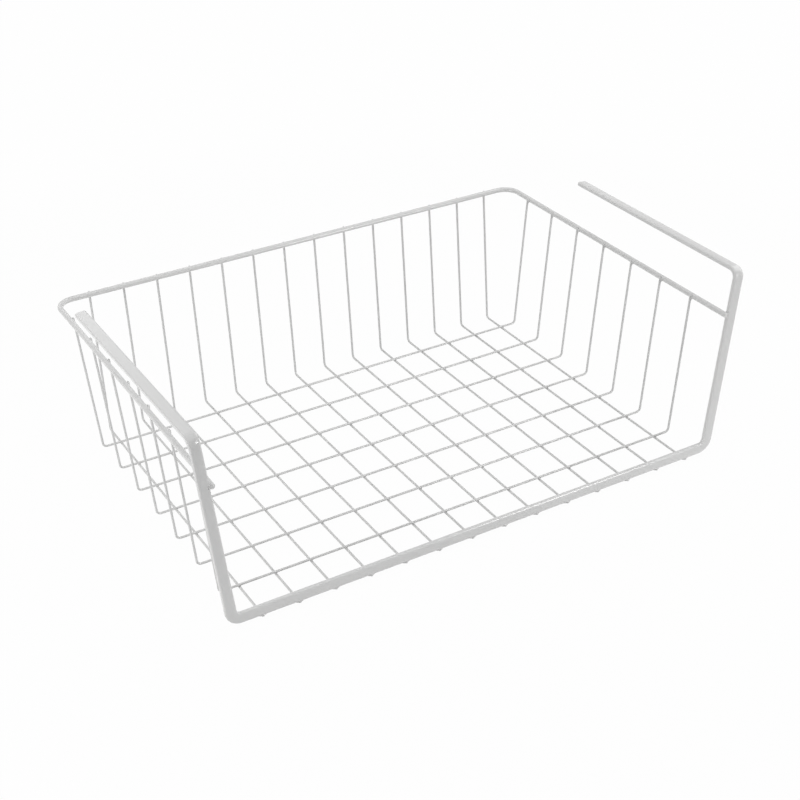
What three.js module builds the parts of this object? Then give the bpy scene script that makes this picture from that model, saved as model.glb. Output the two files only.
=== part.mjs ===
// Hanging wire basket that hooks over a shelf board by two flat arms.
// Units are millimetres and +Z is up. The open front faces -Y.
// The basket stands on Z = 0, with X = 0 and Y = 0 in the middle of its outline.
import * as THREE from 'three';

// Overall size
const WIDTH = 400; // across the outer edges of the two arms
const DEPTH = 260; // from the front of the frame to the back of the wall wires
const HEIGHT = 140; // from the underside of the floor wires to the top of the arms

// Front frame: one flat bar that forms arm, upright, rail, upright and arm
const BAR_WIDTH = 7.5;
const BAR_THICKNESS = 3.2;
const BAR_EDGE_RADIUS = 1.2;
const ARM_LENGTH = 175; // from the front of the frame to the tip
const ARM_BEND_RADIUS = 5.5; // to the middle of the bar, bent the easy way
const RAIL_BEND_RADIUS = 7; // to the middle of the bar, bent edgewise
const UPRIGHT_LEAN = THREE.MathUtils.degToRad(5.9);

// Rim wire: a round U along both sides and the back
const RIM_DIAMETER = 3.8;
const RIM_BEND_RADIUS = 12;
const SHELF_GAP = 27; // room for the shelf board between the arms and the rim

// Thin wires of the floor and walls
const WIRE_DIAMETER = 1.6;
const WIRE_BEND_RADIUS = 3;
const WIRE_STUB = 1; // height of the cut ends above the middle of the rim
const WIRE_SETBACK = 1; // from the front of the rail back to the cut ends under it
const BACK_WIRE_COUNT = 14;
const BACK_LEAN = THREE.MathUtils.degToRad(4.7);
const SIDE_WIRE_COUNT = 7;
const SIDE_LEAN = THREE.MathUtils.degToRad(4.3);
const BACK_STRIP = 22.6; // floor behind the last side wire, up to the foot of the back wall

// Welded pieces lie this far apart, so that each stays a solid of its own
const WELD_GAP = 0.3;

// Facets
const WIRE_SIDES = 8;
const RIM_SIDES = 12;
const EDGE_STEPS = 3;
const BEND_STEP = THREE.MathUtils.degToRad(18);

const X_AXIS = new THREE.Vector3(1, 0, 0);
const Y_AXIS = new THREE.Vector3(0, 1, 0);
const Z_AXIS = new THREE.Vector3(0, 0, 1);

// Heights of the layers, from the ground up
const backWireZ = WIRE_DIAMETER / 2;
const sideWireZ = backWireZ + WIRE_DIAMETER + WELD_GAP;
const railZ = WIRE_DIAMETER + WELD_GAP + BAR_WIDTH / 2;
const armZ = HEIGHT - BAR_THICKNESS / 2;
const rimZ = HEIGHT - BAR_THICKNESS - SHELF_GAP - RIM_DIAMETER / 2;
const wireTopZ = rimZ + WIRE_STUB;

// The frame's middle line in plan, and the inner edge of its uprights at the rim
const frontY = -DEPTH / 2;
const barY = frontY + BAR_THICKNESS / 2;
const armX = WIDTH / 2 - BAR_WIDTH / 2;
const railX = armX - (armZ - railZ) * Math.tan(UPRIGHT_LEAN);
const uprightInnerX = armX - (armZ - rimZ) * Math.tan(UPRIGHT_LEAN) - BAR_WIDTH / 2 / Math.cos(UPRIGHT_LEAN);

// The rim lies inside the uprights, inside the back wires and outside the side wires
const rimToWire = (RIM_DIAMETER + WIRE_DIAMETER) / 2 + WELD_GAP;
const rimX = uprightInnerX - (RIM_DIAMETER / 2 + WELD_GAP) / Math.cos(UPRIGHT_LEAN);
const backWireTopY = DEPTH / 2 - WIRE_DIAMETER / 2 * Math.cos(BACK_LEAN);
const rimY = backWireTopY - WIRE_STUB * Math.tan(BACK_LEAN) - rimToWire / Math.cos(BACK_LEAN);
const sideWireTopX = rimX - rimToWire / Math.cos(SIDE_LEAN) + WIRE_STUB * Math.tan(SIDE_LEAN);

// Where the walls would meet the floor if the wires had sharp bends
const backFootY = backWireTopY - (wireTopZ - backWireZ) * Math.tan(BACK_LEAN);
const sideFootX = sideWireTopX - (wireTopZ - sideWireZ) * Math.tan(SIDE_LEAN);

// Even spacing, with half a space left beside the walls and one behind the rail
const backWireSpacing = 2 * sideFootX / BACK_WIRE_COUNT;
const sideWireSpacing = (backFootY - BACK_STRIP - barY) / SIDE_WIRE_COUNT;

// A path of straight runs and round bends that keeps a ring only where the bar turns.
// faceOf gives the direction that the section's first axis takes for a given tangent.
class BentPath extends THREE.Curve {

  constructor(corners, radii, faceOf) {
    super();
    this.points = [corners[0]];
    this.tangents = [corners[1].clone().sub(corners[0]).normalize()];
    this.faceOf = faceOf;
    radii.forEach((radius, i) => this.addBend(corners[i], corners[i + 1], corners[i + 2], radius));
    this.points.push(corners.at(-1));
    this.tangents.push(this.tangents.at(-1));
  }

  addBend(before, corner, after, radius) {
    const along = corner.clone().sub(before).normalize();
    const leaving = after.clone().sub(corner).normalize();
    const angle = along.angleTo(leaving);
    const inward = leaving.clone().addScaledVector(along, -leaving.dot(along)).normalize();
    const start = corner.clone().addScaledVector(along, -radius * Math.tan(angle / 2));
    const steps = Math.ceil(angle / BEND_STEP);
    for (let i = 0; i <= steps; i++) {
      const turn = angle * i / steps;
      const point = start.clone().addScaledVector(along, radius * Math.sin(turn));
      this.points.push(point.addScaledVector(inward, radius * (1 - Math.cos(turn))));
      const tangent = along.clone().multiplyScalar(Math.cos(turn));
      this.tangents.push(tangent.addScaledVector(inward, Math.sin(turn)));
    }
  }

  getSpacedPoints() {
    return this.points;
  }

  computeFrenetFrames() {
    const normals = this.tangents.map((tangent) => this.faceOf(tangent));
    const binormals = this.tangents.map((tangent, i) => tangent.clone().cross(normals[i]));
    return { tangents: this.tangents, normals, binormals };
  }

}

// A regular polygon with flats on its axes, so that crossing wires meet flat to flat.
function roundSection(diameter, sides) {
  const radius = diameter / 2 / Math.cos(Math.PI / sides);
  const points = [];
  for (let i = 0; i < sides; i++) {
    const angle = 2 * Math.PI * (i + 0.5) / sides;
    points.push(new THREE.Vector2(radius * Math.cos(angle), radius * Math.sin(angle)));
  }
  return new THREE.Shape(points);
}

// A rectangle with rounded edges, thickness along its first axis and width along its second.
function barSection(thickness, width, edgeRadius) {
  const x = thickness / 2 - edgeRadius;
  const y = width / 2 - edgeRadius;
  const quarter = Math.PI / 2;
  const shape = new THREE.Shape();
  shape.absarc(x, y, edgeRadius, 0, quarter);
  shape.absarc(-x, y, edgeRadius, quarter, 2 * quarter);
  shape.absarc(-x, -y, edgeRadius, 2 * quarter, 3 * quarter);
  shape.absarc(x, -y, edgeRadius, 3 * quarter, 4 * quarter);
  return new THREE.Shape(shape.extractPoints(EDGE_STEPS).shape);
}

function bentBar(section, corners, radii, faceOf) {
  const extrudePath = new BentPath(corners, radii, faceOf);
  return new THREE.ExtrudeGeometry(section, { extrudePath, steps: extrudePath.points.length - 1 });
}

// A wire bent in one plane keeps its section square to that plane.
function bentWire(section, corners, radii, planeNormal) {
  return bentBar(section, corners, radii, (tangent) => planeNormal.clone().cross(tangent));
}

// The bar's broad face looks up on the arms and to the front everywhere else.
function frameFace(tangent) {
  const run = Math.abs(tangent.y);
  const face = new THREE.Vector3(0, -Math.sqrt(1 - run * run), run);
  return face.addScaledVector(tangent, -face.dot(tangent)).normalize();
}

function frontFrame() {
  const tipY = frontY + ARM_LENGTH;
  const corners = [
    new THREE.Vector3(-armX, tipY, armZ),
    new THREE.Vector3(-armX, barY, armZ),
    new THREE.Vector3(-railX, barY, railZ),
    new THREE.Vector3(railX, barY, railZ),
    new THREE.Vector3(armX, barY, armZ),
    new THREE.Vector3(armX, tipY, armZ),
  ];
  const radii = [ARM_BEND_RADIUS, RAIL_BEND_RADIUS, RAIL_BEND_RADIUS, ARM_BEND_RADIUS];
  return bentBar(barSection(BAR_THICKNESS, BAR_WIDTH, BAR_EDGE_RADIUS), corners, radii, frameFace);
}

function rimWire() {
  const corners = [
    new THREE.Vector3(-rimX, frontY, rimZ),
    new THREE.Vector3(-rimX, rimY, rimZ),
    new THREE.Vector3(rimX, rimY, rimZ),
    new THREE.Vector3(rimX, frontY, rimZ),
  ];
  const radii = [RIM_BEND_RADIUS, RIM_BEND_RADIUS];
  return bentWire(roundSection(RIM_DIAMETER, RIM_SIDES), corners, radii, Z_AXIS);
}

// An L under the rail, along the floor and up the back, drawn at X = 0.
function backWire() {
  const corners = [
    new THREE.Vector3(0, frontY + WIRE_SETBACK, backWireZ),
    new THREE.Vector3(0, backFootY, backWireZ),
    new THREE.Vector3(0, backWireTopY, wireTopZ),
  ];
  return bentWire(roundSection(WIRE_DIAMETER, WIRE_SIDES), corners, [WIRE_BEND_RADIUS], X_AXIS);
}

// A U across the floor and up both sides, drawn at Y = 0.
function sideWire() {
  const corners = [
    new THREE.Vector3(-sideWireTopX, 0, wireTopZ),
    new THREE.Vector3(-sideFootX, 0, sideWireZ),
    new THREE.Vector3(sideFootX, 0, sideWireZ),
    new THREE.Vector3(sideWireTopX, 0, wireTopZ),
  ];
  const radii = [WIRE_BEND_RADIUS, WIRE_BEND_RADIUS];
  return bentWire(roundSection(WIRE_DIAMETER, WIRE_SIDES), corners, radii, Y_AXIS);
}

function namedMesh(name, geometry, material) {
  const mesh = new THREE.Mesh(geometry, material);
  mesh.name = name;
  return mesh;
}

const frameCoat = new THREE.MeshStandardMaterial({ color: 0xdcdcdb, roughness: 0.4, metalness: 0 });
const rimCoat = new THREE.MeshStandardMaterial({ color: 0xdcdcdb, roughness: 0.4, metalness: 0 });
const wireCoat = new THREE.MeshStandardMaterial({ color: 0xd6d6d5, roughness: 0.4, metalness: 0 });

const basket = new THREE.Group();
basket.add(namedMesh('front_frame', frontFrame(), frameCoat));
basket.add(namedMesh('rim_wire', rimWire(), rimCoat));

const backWires = new THREE.Group();
for (let i = 0; i < BACK_WIRE_COUNT; i++) {
  const wire = namedMesh(`back_wire_${String(i + 1).padStart(2, '0')}`, backWire(), wireCoat);
  wire.position.x = -sideFootX + (i + 0.5) * backWireSpacing;
  backWires.add(wire);
}
basket.add(backWires);

const sideWires = new THREE.Group();
for (let i = 0; i < SIDE_WIRE_COUNT; i++) {
  const wire = namedMesh(`side_wire_${i + 1}`, sideWire(), wireCoat);
  wire.position.y = barY + (i + 1) * sideWireSpacing;
  sideWires.add(wire);
}
basket.add(sideWires);

export default basket;
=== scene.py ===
from math import atan2, ceil, cos, exp, hypot, radians, sin, tan

import bmesh
import bpy
from mathutils import Matrix, Vector


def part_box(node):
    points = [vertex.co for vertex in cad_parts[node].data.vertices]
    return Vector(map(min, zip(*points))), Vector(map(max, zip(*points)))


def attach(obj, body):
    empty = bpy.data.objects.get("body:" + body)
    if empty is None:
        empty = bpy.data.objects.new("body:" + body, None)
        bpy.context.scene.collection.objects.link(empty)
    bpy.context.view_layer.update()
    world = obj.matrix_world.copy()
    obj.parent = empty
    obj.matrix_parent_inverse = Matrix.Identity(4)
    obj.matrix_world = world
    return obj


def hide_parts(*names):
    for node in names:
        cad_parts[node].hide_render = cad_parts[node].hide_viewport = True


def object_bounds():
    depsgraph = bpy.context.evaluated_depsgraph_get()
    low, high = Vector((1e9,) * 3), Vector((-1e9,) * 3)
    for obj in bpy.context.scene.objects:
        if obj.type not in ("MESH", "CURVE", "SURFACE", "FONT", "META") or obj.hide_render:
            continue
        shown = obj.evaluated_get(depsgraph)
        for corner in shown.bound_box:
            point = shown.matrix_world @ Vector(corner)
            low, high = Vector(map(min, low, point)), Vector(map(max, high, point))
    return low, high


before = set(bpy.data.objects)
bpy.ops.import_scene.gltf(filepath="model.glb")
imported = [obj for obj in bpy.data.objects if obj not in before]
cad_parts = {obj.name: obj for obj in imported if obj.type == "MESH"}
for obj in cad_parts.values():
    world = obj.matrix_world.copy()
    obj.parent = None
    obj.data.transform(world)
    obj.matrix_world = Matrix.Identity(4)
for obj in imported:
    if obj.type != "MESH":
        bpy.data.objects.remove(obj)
cad_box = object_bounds()

# Front frame: one steel wire rolled flat with round edges, bent cold as arm, upright, rail, upright, arm.
# The arms lie on the shelf board and carry the rest, and each leans a little with its upright. Bending left
# a faint ridge outside each upper bend and a twist in the left upright. Powder rounds the sawn tips.

rightward = Vector((1, 0, 0))
backward = Vector((0, 1, 0))
upward = Vector((0, 0, 1))
quarter_turn = radians(90)


class BentStock:
    """Bar or wire that grows from its flat section as it is fed forward and bent."""

    bend_step = radians(7)

    def __init__(self, section, start, heading, across):
        self.mesh = section
        self.heading = heading
        turn = Matrix((across, heading.cross(across), heading)).transposed().to_4x4()
        bmesh.ops.transform(section, matrix=Matrix.Translation(start) @ turn, verts=section.verts)
        self.first_cut = section.faces[:][0]
        self.end = self.first_cut

    def end_parts(self):
        return [self.end, *self.end.edges, *self.end.verts]

    def take_end(self, grown):
        self.end = next(part for part in grown if isinstance(part, bmesh.types.BMFace))

    def feed(self, length):
        grown = bmesh.ops.extrude_face_region(self.mesh, geom=self.end_parts())
        self.take_end(grown["geom"])
        bmesh.ops.translate(self.mesh, vec=self.heading * length, verts=self.end.verts)

    def bend(self, radius, turn, towards):
        axis = self.heading.cross(towards)
        turned = bmesh.ops.spin(
            self.mesh,
            geom=self.end_parts(),
            cent=self.end.calc_center_median() + towards * radius,
            axis=axis,
            angle=turn,
            steps=ceil(turn / self.bend_step),
        )
        self.take_end(turned["geom_last"])
        self.heading = Matrix.Rotation(turn, 3, axis) @ self.heading

    def round_cuts(self, radius, *cuts):
        """The coat rounds the edge of a cut end."""
        rims = [edge for cut in cuts for edge in cut.edges]
        bmesh.ops.bevel(
            self.mesh, geom=rims, offset=radius, affect="EDGES", segments=4, profile=0.5, material=-1
        )

    def mirror(self):
        """Makes the other half of a piece that ends at X = 0, joined without a seam."""
        bmesh.ops.delete(self.mesh, geom=[self.end], context="FACES_ONLY")
        half = [*self.mesh.verts, *self.mesh.edges, *self.mesh.faces]
        bmesh.ops.mirror(self.mesh, geom=half, axis="X", merge_dist=1e-6)


class Shade:
    """A socket in a material. Arithmetic on it adds Math nodes."""

    def __init__(self, tree, socket=None):
        self.tree = tree
        self.socket = socket

    def node(self, kind, settings, inputs, output=0):
        made = self.tree.nodes.new(kind)
        for setting, value in settings.items():
            setattr(made, setting, value)
        for name, value in inputs.items():
            if isinstance(value, Shade):
                self.tree.links.new(value.socket, made.inputs[name])
            else:
                made.inputs[name].default_value = value
        return Shade(self.tree, made.outputs[output] if made.outputs else None)

    def maths(self, operation, first, second):
        return self.node("ShaderNodeMath", {"operation": operation}, {0: first, 1: second})

    def colours(self, low, high):
        return self.node("ShaderNodeMix", {"data_type": "RGBA"}, {0: self, 6: low, 7: high}, 2)

    def __add__(self, other):
        return self.maths("ADD", self, other)

    def __mul__(self, other):
        return self.maths("MULTIPLY", self, other)

    __radd__ = __add__
    __rmul__ = __mul__


def powder_coat(name, thin, thick, peel_size):
    """Satin polyester powder: it drifts in thickness, and its skin has the faint dimples of orange peel."""
    drift_size = 0.05
    drift_share = 0.7
    mottle_size = 0.004
    peel_depth = 0.00002
    peel_strength = 0.1
    smoothest = 0.12
    roughest = 0.2
    coat = bpy.data.materials.new(name)
    coat.use_nodes = True
    coat.node_tree.nodes.clear()
    start = Shade(coat.node_tree)
    spot = start.node("ShaderNodeTexCoord", {}, {}, "Object")
    drift = start.node("ShaderNodeTexNoise", {}, {"Vector": spot, "Scale": 1 / drift_size, "Detail": 3})
    mottle = start.node("ShaderNodeTexNoise", {}, {"Vector": spot, "Scale": 1 / mottle_size, "Detail": 2})
    peel = start.node("ShaderNodeTexNoise", {}, {"Vector": spot, "Scale": 1 / peel_size, "Detail": 1})
    dimples = {"Strength": peel_strength, "Distance": peel_depth, "Height": peel}
    skin = start.node("ShaderNodeBump", {}, dimples)
    depth = drift * drift_share + mottle * (1 - drift_share)
    film = start.node(
        "ShaderNodeBsdfPrincipled",
        {},
        {
            "Base Color": depth.colours(thin, thick),
            "Roughness": smoothest + mottle * (roughest - smoothest),
            "Normal": skin,
        },
    )
    start.node("ShaderNodeOutputMaterial", {}, {"Surface": film})
    return coat


def coated_piece(name, mesh, coat):
    """The finished mesh as an object at the origin, smooth all over."""
    bmesh.ops.recalc_face_normals(mesh, faces=mesh.faces)
    for face in mesh.faces:
        face.smooth = True
    shape = bpy.data.meshes.new(name)
    mesh.to_mesh(shape)
    mesh.free()
    shape.materials.append(coat)
    piece = bpy.data.objects.new(name, shape)
    bpy.context.scene.collection.objects.link(piece)
    return piece


bar_width = 0.0075
bar_thickness = 0.0032
bar_edge_drop = 0.0009
bar_edge_reach = 0.0019
arm_tip_radius = 0.0006
arm_bend_radius = 0.0055
arm_ridge_height = 0.0003
arm_ridge_half = 0.0022
arm_ridge_turn = radians(70)
rail_bend_radius = 0.007
upright_lean = radians(5.9)
upright_twist = radians(14)
upright_steps = 16

bar_low, bar_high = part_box("front_frame")
arm_x = bar_high.x - bar_width / 2
arm_z = bar_high.z - bar_thickness / 2
bar_y = bar_low.y + bar_thickness / 2
rail_z = bar_low.z + bar_width / 2
upright_height = arm_z - rail_z
rail_x = arm_x - upright_height * tan(upright_lean)
rail_turn = quarter_turn - upright_lean
rail_bend_run = rail_bend_radius * tan(rail_turn / 2)
down_upright = Vector((sin(upright_lean), 0, -cos(upright_lean)))
across_upright = Vector((cos(upright_lean), 0, sin(upright_lean)))

edge_stretch = bar_edge_reach / bar_edge_drop
bar_section = bmesh.new()
bmesh.ops.create_grid(bar_section, x_segments=1, y_segments=1, size=0.5)
bmesh.ops.scale(bar_section, vec=(bar_width / edge_stretch, bar_thickness, 1), verts=bar_section.verts)
bmesh.ops.bevel(
    bar_section,
    geom=bar_section.verts[:],
    offset=bar_edge_drop,
    affect="VERTICES",
    segments=8,
    profile=0.5,
    material=-1,
)
bmesh.ops.scale(bar_section, vec=(edge_stretch, 1, 1), verts=bar_section.verts)
flats = [edge for edge in bar_section.edges if edge.calc_length() > bar_edge_drop]
bmesh.ops.bisect_edges(bar_section, edges=flats, cuts=5)

bar = BentStock(bar_section, Vector((-arm_x, bar_high.y, arm_z)), -backward, across_upright)
bar.feed(bar_high.y - bar_y - arm_bend_radius)
arm_bend_middle = bar.end.calc_center_median() + down_upright * arm_bend_radius
bar.bend(arm_bend_radius, quarter_turn, down_upright)
for vertex in bar.mesh.verts:
    spoke = vertex.co - arm_bend_middle
    aside = spoke.dot(across_upright)
    spoke -= across_upright * aside
    turn = atan2(-spoke.dot(down_upright), -spoke.y)
    if spoke.length > arm_bend_radius and 0 < turn < arm_ridge_turn:
        rise = sin(2 * quarter_turn * turn / arm_ridge_turn) ** 2 * exp(-((aside / arm_ridge_half) ** 2))
        vertex.co += spoke.normalized() * arm_ridge_height * rise
upright_top = bar.end.calc_center_median()
upright_run = upright_height / cos(upright_lean) - arm_bend_radius - rail_bend_run
for step in range(upright_steps):
    bar.feed(upright_run / upright_steps)
bar.bend(rail_bend_radius, rail_turn, across_upright)
bar.feed(rail_x - rail_bend_run)
bar.round_cuts(arm_tip_radius, bar.first_cut)
bar.mirror()


def left_twist(spot):
    """It fades slowly down to the rail and quickly round the upper bend."""
    spoke = spot - arm_bend_middle
    drop = spoke.dot(down_upright)
    if drop > 0:
        return upright_twist * max(1 - drop / upright_run, 0) ** (1 / 3)
    return upright_twist * max(1 - atan2(-drop, -spoke.y) / quarter_turn, 0) ** 2


for vertex in bar.mesh.verts:
    if vertex.co.x < 0:
        twist = Matrix.Rotation(-left_twist(vertex.co), 3, down_upright)
        vertex.co = upright_top + twist @ (vertex.co - upright_top)

thin_white = (0.72, 0.72, 0.716, 1)
thick_white = (0.76, 0.76, 0.756, 1)
bar_coat = powder_coat("bar_coat", thin_white, thick_white, peel_size=0.0012)
front_frame = coated_piece("coated_front_frame", bar.mesh, bar_coat)
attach(front_frame, "root")
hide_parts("front_frame")

# Rim: one drawn steel wire, twice as thick as the others, bent as a U round both sides and the back.
# Its ends are welded to the inner edges of the uprights, level with the front of the frame, and each weld
# presses the two pieces a little into each other. The left end was welded low, so that side slopes down.


def round_section(radius, sides):
    section = bmesh.new()
    bmesh.ops.create_circle(section, cap_ends=True, radius=radius, segments=sides)
    return section


weld_set_down = 0.0006
rim_bend_radius = 0.012
rim_end_radius = 0.0011
rim_end_drop = 0.0035
rim_sides = 24

rim_low, rim_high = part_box("rim_wire")
rim_radius = (rim_high.z - rim_low.z) / 2
rim_x = rim_high.x - rim_radius + weld_set_down
rim_y = rim_high.y - rim_radius + weld_set_down / 2
rim_z = rim_low.z + rim_radius

rim_run = rim_y - rim_bend_radius - rim_low.y


def rim_drop(x, y):
    """How far the left side of the rim lies below the right side."""
    return rim_end_drop * max(1 - (y - rim_low.y) / rim_run, 0) if x < 0 else 0


rim = BentStock(round_section(rim_radius, rim_sides), Vector((-rim_x, rim_low.y, rim_z)), backward, upward)
rim.feed(rim_run)
rim.bend(rim_bend_radius, quarter_turn, rightward)
rim.feed(rim_x - rim_bend_radius)
rim.round_cuts(rim_end_radius, rim.first_cut)
rim.mirror()
for vertex in rim.mesh.verts:
    vertex.co.z -= rim_drop(vertex.co.x, vertex.co.y)

rim_coat = powder_coat("rim_coat", thin_white, thick_white, peel_size=0.001)
rim_wire = coated_piece("coated_rim_wire", rim.mesh, rim_coat)
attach(rim_wire, "root")
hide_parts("rim_wire")

# Back wires: fourteen thin drawn wires, each an L that runs under the rail, along the floor and up behind.
# They are the lower layer of the floor. Each is welded under the rail and to the outside of the rim's back,
# a little to the right of where it was meant to be.

back_wire_count = 14
back_lean = radians(4.54)
back_wire_shift = 0.0012
wire_bend_radius = 0.003
wire_end_radius = 0.0005
wire_sides = 16

# Painted shade: the wires carry the same white powder as the frame, painted some 8 percent darker so that
# the thin wires show darker than the frame.
thin_wire_shaded_white = (0.66, 0.66, 0.656, 1)
thick_wire_shaded_white = (0.7, 0.7, 0.696, 1)
wire_coat = powder_coat("wire_coat", thin_wire_shaded_white, thick_wire_shaded_white, peel_size=0.0008)
back_turn = quarter_turn - back_lean
back_bend_run = wire_bend_radius * tan(back_turn / 2)
back_wire_xs = []

for number in range(1, back_wire_count + 1):
    node = f"back_wire_{number:02}"
    wire_low, wire_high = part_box(node)
    wire_radius = (wire_high.x - wire_low.x) / 2
    wire_x = wire_low.x + wire_radius + back_wire_shift
    top_y = wire_high.y - wire_radius * cos(back_lean) - weld_set_down / 2
    top_z = wire_high.z - wire_radius * sin(back_lean)
    back_height = top_z - wire_radius
    back_foot_y = top_y - back_height * tan(back_lean)
    start = Vector((wire_x, wire_low.y, wire_radius))
    wire = BentStock(round_section(wire_radius, wire_sides), start, backward, rightward)
    wire.feed(back_foot_y - wire_low.y - back_bend_run)
    wire.bend(wire_bend_radius, back_turn, upward)
    wire.feed(back_height / cos(back_lean) - back_bend_run)
    wire.round_cuts(wire_end_radius, wire.first_cut, wire.end)
    back_wire = coated_piece(f"coated_{node}", wire.mesh, wire_coat)
    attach(back_wire, "root")
    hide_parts(node)
    back_wire_xs.append(wire_x)

# Side wires: seven thin drawn wires, each a U that runs across the floor and up both sides.
# They lie on the back wires, welded at every crossing, and are welded to the inside of the rim.
# On the left they are a little shorter towards the front, where the rim is low.

side_wire_count = 7
side_lean = radians(4.94)

down_side = Vector((sin(side_lean), 0, -cos(side_lean)))
across_side = Vector((cos(side_lean), 0, sin(side_lean)))
side_turn = quarter_turn - side_lean
side_bend_run = wire_bend_radius * tan(side_turn / 2)
side_wire_ys = []

for number in range(1, side_wire_count + 1):
    node = f"side_wire_{number}"
    wire_low, wire_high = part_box(node)
    wire_y = (wire_low.y + wire_high.y) / 2
    side_top_x = wire_high.x - wire_radius * cos(side_lean) + 2 * weld_set_down
    side_top_z = wire_high.z - wire_radius * sin(side_lean)
    side_floor_z = wire_low.z + wire_radius
    side_height = side_top_z - side_floor_z
    side_foot_x = side_top_x - side_height * tan(side_lean)
    start = Vector((-side_top_x, wire_y, side_top_z))
    wire = BentStock(round_section(wire_radius, wire_sides), start, down_side, backward)
    wire.feed(side_height / cos(side_lean) - side_bend_run)
    wire.bend(wire_bend_radius, side_turn, across_side)
    wire.feed(side_foot_x - side_bend_run)
    wire.round_cuts(wire_end_radius, wire.first_cut)
    wire.mirror()
    for vertex in wire.mesh.verts:
        climb = (vertex.co.z - side_floor_z) / side_height
        vertex.co.z -= climb * rim_drop(vertex.co.x, wire_y)
    side_wire = coated_piece(f"coated_{node}", wire.mesh, wire_coat)
    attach(side_wire, "root")
    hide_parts(node)
    side_wire_ys.append(wire_y)

# Floor welds: a spot weld joins every crossing of the floor, and the powder flows into its corners.
# Each is a small saddle, low along the back wire and high along the side wire.


def weld_saddle(mesh, at, along_low, along_high, reach_low, reach_high, waist, depth, lift):
    """A drop of metal and coat that reaches along both pieces and draws in between them."""
    made = bmesh.ops.create_uvsphere(mesh, u_segments=8, v_segments=6, radius=1)
    for vertex in made["verts"]:
        lobe = cos(2 * atan2(vertex.co.y, vertex.co.x))
        out = hypot(vertex.co.x, vertex.co.y)
        reach = reach_high if lobe > 0 else reach_low
        spread = waist + (reach - waist) * lobe * lobe
        rise = vertex.co.z * depth + lift * lobe * out * out
        vertex.co = Vector((vertex.co.x * spread, vertex.co.y * spread, rise))
    stand = Matrix((along_high, along_low, along_high.cross(along_low))).transposed().to_4x4()
    bmesh.ops.transform(mesh, matrix=Matrix.Translation(at) @ stand, verts=made["verts"])


floor_mesh = bmesh.new()
crossing_z = (2 * wire_radius + wire_low.z) / 2
for wire_x in back_wire_xs:
    for wire_y in side_wire_ys:
        weld_saddle(
            floor_mesh,
            Vector((wire_x, wire_y, crossing_z)),
            along_low=backward,
            along_high=rightward,
            reach_low=0.0012,
            reach_high=0.0012,
            waist=0.0009,
            depth=0.0005,
            lift=0.0002,
        )
floor_welds = coated_piece("floor_welds", floor_mesh, wire_coat)
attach(floor_welds, "root")

# Rail welds: the back wires end under the rail, and a wide drop of weld and powder ramps up to it
# on both sides of each wire.

rail_mesh = bmesh.new()
for wire_x in back_wire_xs:
    weld_saddle(
        rail_mesh,
        Vector((wire_x, bar_y, 2 * wire_radius)),
        along_low=backward,
        along_high=rightward,
        reach_low=0.0016,
        reach_high=0.0034,
        waist=0.0014,
        depth=0.0012,
        lift=0.0003,
    )
rail_welds = coated_piece("rail_welds", rail_mesh, wire_coat)
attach(rail_welds, "root")

# Rim welds: a weld holds every wire's tip to the rim, and one on each side holds the rim to its upright.
# The powder draws across the corner below the rim as a small web.

rim_mesh = bmesh.new()
web_drop = 0.0006
for wire_x in back_wire_xs:
    weld_saddle(
        rim_mesh,
        Vector((wire_x, rim_y + rim_radius, rim_z - web_drop)),
        along_low=rightward,
        along_high=upward,
        reach_low=0.0025,
        reach_high=0.0024,
        waist=0.0015,
        depth=0.0007,
        lift=0.0004,
    )
for side in (-1, 1):
    for wire_y in side_wire_ys:
        weld_saddle(
            rim_mesh,
            Vector((side * (rim_x - rim_radius), wire_y, rim_z - web_drop - rim_drop(side, wire_y))),
            along_low=side * upward,
            along_high=backward,
            reach_low=0.0024,
            reach_high=0.0025,
            waist=0.0015,
            depth=0.0007,
            lift=0.0004,
        )
    weld_saddle(
        rim_mesh,
        Vector((side * (rim_x + rim_radius), bar_y, rim_z - rim_drop(side, bar_y))),
        along_low=backward,
        along_high=side * upward,
        reach_low=0.0016,
        reach_high=0.0028,
        waist=0.002,
        depth=0.0008,
        lift=0.0004,
    )
rim_welds = coated_piece("rim_welds", rim_mesh, rim_coat)
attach(rim_welds, "root")

# Photo table: a white sheet under the basket, which keeps a faint shadow and throws light up from near by,
# on a grey top that throws little. Both look white.

table_half = 4.0
sheet_inner = 0.4
sheet_outer = 0.6
sheet_white = 0.97
top_white = 0.99
table_mesh = bmesh.new()
bmesh.ops.create_grid(table_mesh, x_segments=1, y_segments=1, size=table_half)
table_shape = bpy.data.meshes.new("photo_table")
table_mesh.to_mesh(table_shape)
table_mesh.free()
photo_table = bpy.data.objects.new("photo_table", table_shape)
bpy.context.scene.collection.objects.link(photo_table)

table_paper = bpy.data.materials.new("table_paper")
table_paper.use_nodes = True
table_paper.node_tree.nodes.clear()
start = Shade(table_paper.node_tree)


def seen_directly(start):
    """One for the camera's rays, and for what gloss and glass show."""
    rays = "ShaderNodeLightPath"
    camera = start.node(rays, {}, {}, "Is Camera Ray")
    gloss = start.node(rays, {}, {}, "Is Glossy Ray")
    glass = start.node(rays, {}, {}, "Is Transmission Ray")
    return camera + gloss + glass


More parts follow.
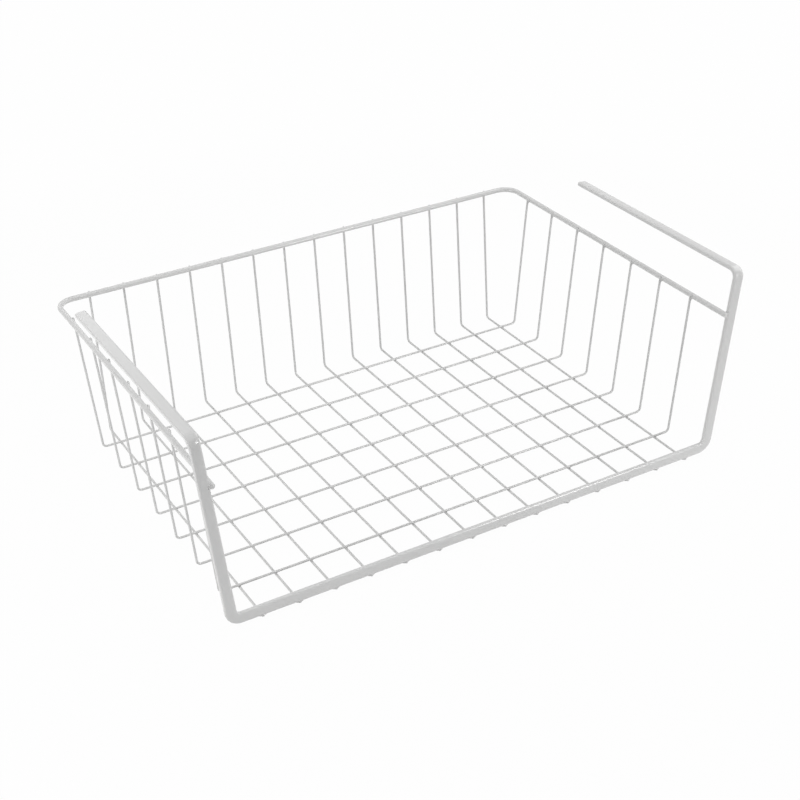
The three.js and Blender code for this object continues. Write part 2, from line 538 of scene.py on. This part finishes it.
spot = start.node("ShaderNodeTexCoord", {}, {}, "Object")
away = start.node("ShaderNodeVectorMath", {"operation": "LENGTH"}, {0: spot}, "Value")
sheet_edge = {"Value": away, "From Min": sheet_inner, "From Max": sheet_outer}
off_sheet = start.node("ShaderNodeMapRange", {}, sheet_edge)
paper = start.node("ShaderNodeBsdfDiffuse", {}, {"Color": (0.85, 0.85, 0.85, 1)})
grey = start.node("ShaderNodeBsdfDiffuse", {}, {"Color": (0.3, 0.3, 0.3, 1)})
lit = start.node("ShaderNodeMixShader", {}, {0: off_sheet, 1: paper, 2: grey})
white = start.node("ShaderNodeEmission", {}, {"Color": (1, 1, 1, 1), "Strength": 1.0})
plain_white = sheet_white + off_sheet * (top_white - sheet_white)
sweep = start.node("ShaderNodeMixShader", {}, {0: seen_directly(start) * plain_white, 1: lit, 2: white})
start.node("ShaderNodeOutputMaterial", {}, {"Surface": sweep})
table_shape.materials.append(table_paper)

# Studio light: large soft boxes on the left, above, behind and on the right, a small one close on the left
# and a narrow one at the front right, whose streak shows on the bends. The white room fills the rest.

room_level = 0.1
room = bpy.data.worlds.new("white_room")
room.use_nodes = True
room.node_tree.nodes.clear()
start = Shade(room.node_tree)
dim = start.node("ShaderNodeBackground", {}, {"Color": (1, 1, 1, 1), "Strength": room_level})
bright = start.node("ShaderNodeBackground", {}, {"Color": (1, 1, 1, 1), "Strength": 1.0})
walls = start.node("ShaderNodeMixShader", {}, {0: seen_directly(start), 1: dim, 2: bright})
start.node("ShaderNodeOutputWorld", {}, {"Surface": walls})
bpy.context.scene.world = room
bpy.context.scene.view_settings.view_transform = "Standard"

basket_middle = (cad_box[0] + cad_box[1]) / 2


def soft_box(name, towards, distance, width, height, power):
    lamp = bpy.data.lights.new(name, "AREA")
    lamp.shape = "RECTANGLE"
    lamp.size = width
    lamp.size_y = height
    lamp.energy = power
    box = bpy.data.objects.new(name, lamp)
    box.matrix_world = Matrix.Translation(basket_middle + towards.normalized() * distance) @ (
        -towards
    ).to_track_quat("-Z", "Y").to_matrix().to_4x4()
    bpy.context.scene.collection.objects.link(box)


soft_box("left_box", Vector((-0.96, -0.1, 0.12)), distance=1.9, width=1.2, height=0.6, power=9.2)
soft_box("near_box", Vector((-0.97, -0.15, 0.15)), distance=0.6, width=0.4, height=0.3, power=0.6)
soft_box("top_box", Vector((0.0, 0.02, 1.0)), distance=1.5, width=2.2, height=2.2, power=13.4)
soft_box("back_box", Vector((0.0, 0.85, 0.53)), distance=1.6, width=1.0, height=1.0, power=3.3)
soft_box("right_box", Vector((0.79, 0.06, 0.6)), distance=1.4, width=1.1, height=1.1, power=6.4)
soft_box("front_box", Vector((0.49, -0.855, 0.15)), distance=1.3, width=0.24, height=0.52, power=5.0)

# Camera: from the front left and above, as in the photograph, with a long lens and a slight roll.

camera_spot = Vector((-0.45164, -0.79025, 0.58232))
camera_aim = Vector((0.00404, -0.0114, 0.04))
camera_roll = radians(-0.794)
lens = bpy.data.cameras.new("photo_camera")
lens.lens = 68.13
lens.sensor_width = 36
camera = bpy.data.objects.new("photo_camera", lens)
facing = (camera_aim - camera_spot).to_track_quat("-Z", "Y").to_matrix()
level = facing @ Matrix.Rotation(camera_roll, 3, "Z")
camera.matrix_world = Matrix.Translation(camera_spot) @ level.to_4x4()
bpy.context.scene.collection.objects.link(camera)
bpy.context.scene.camera = camera
